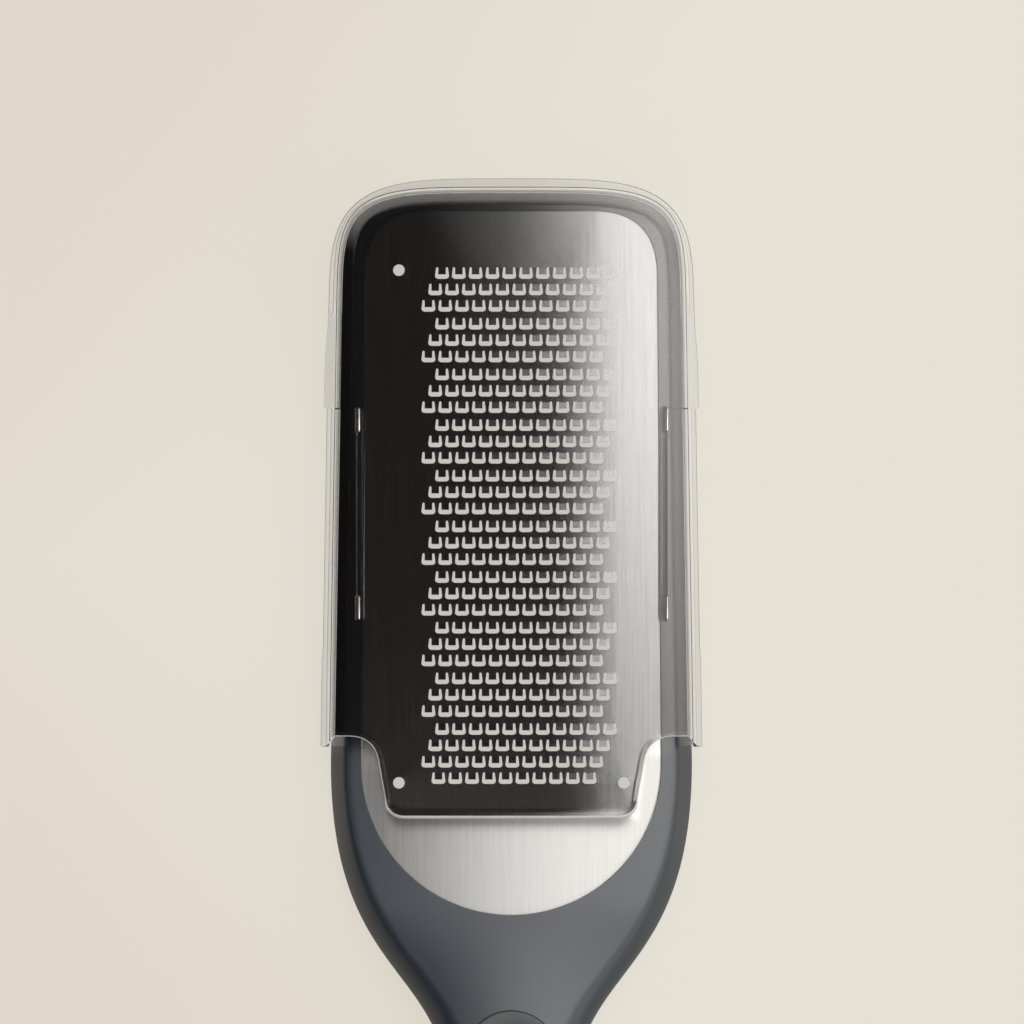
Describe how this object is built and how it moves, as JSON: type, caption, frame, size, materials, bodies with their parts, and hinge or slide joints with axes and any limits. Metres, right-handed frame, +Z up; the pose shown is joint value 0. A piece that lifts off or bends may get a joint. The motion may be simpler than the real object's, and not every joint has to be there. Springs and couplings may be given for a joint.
{
  "type": "fine grater",
  "caption": "Paddle-shaped hand grater with an etched steel blade in an arched plastic frame, a slim handle with a thumb pad, and a clear cover that slides off over the tip.",
  "frame": {"origin": "middle of the whole part, with its cover on, on the surface it lies on", "axes": "+Y from the handle to the tip of the head, +Z up out of the grating face, +X to the right seen from above with the tip ahead"},
  "size_m": [0.0804, 0.29, 0.0222],
  "materials": {
    "body_plastic": "charcoal, satin moulded",
    "inner_plastic": "dark grey, plain moulded",
    "blade_steel": "stainless, fine brushing along the blade",
    "soft_grip": "matt, dark grey",
    "clear_plastic": "clear, polished"
  },
  "bodies": {
    "grater": {"main_body": "body_plastic", "handle_back": "body_plastic", "grater_blade": "blade_steel", "blade_retainer": "inner_plastic", "thumb_pad": "soft_grip", "tip_foot": "soft_grip"},
    "cover": {"protective_cover": "clear_plastic"}
  },
  "joints": [
    {"name": "cover_slide", "type": "slide", "parent": "grater", "child": "cover", "axis": [0, 1, 0], "range_m": [0, 0.135]}
  ]
}
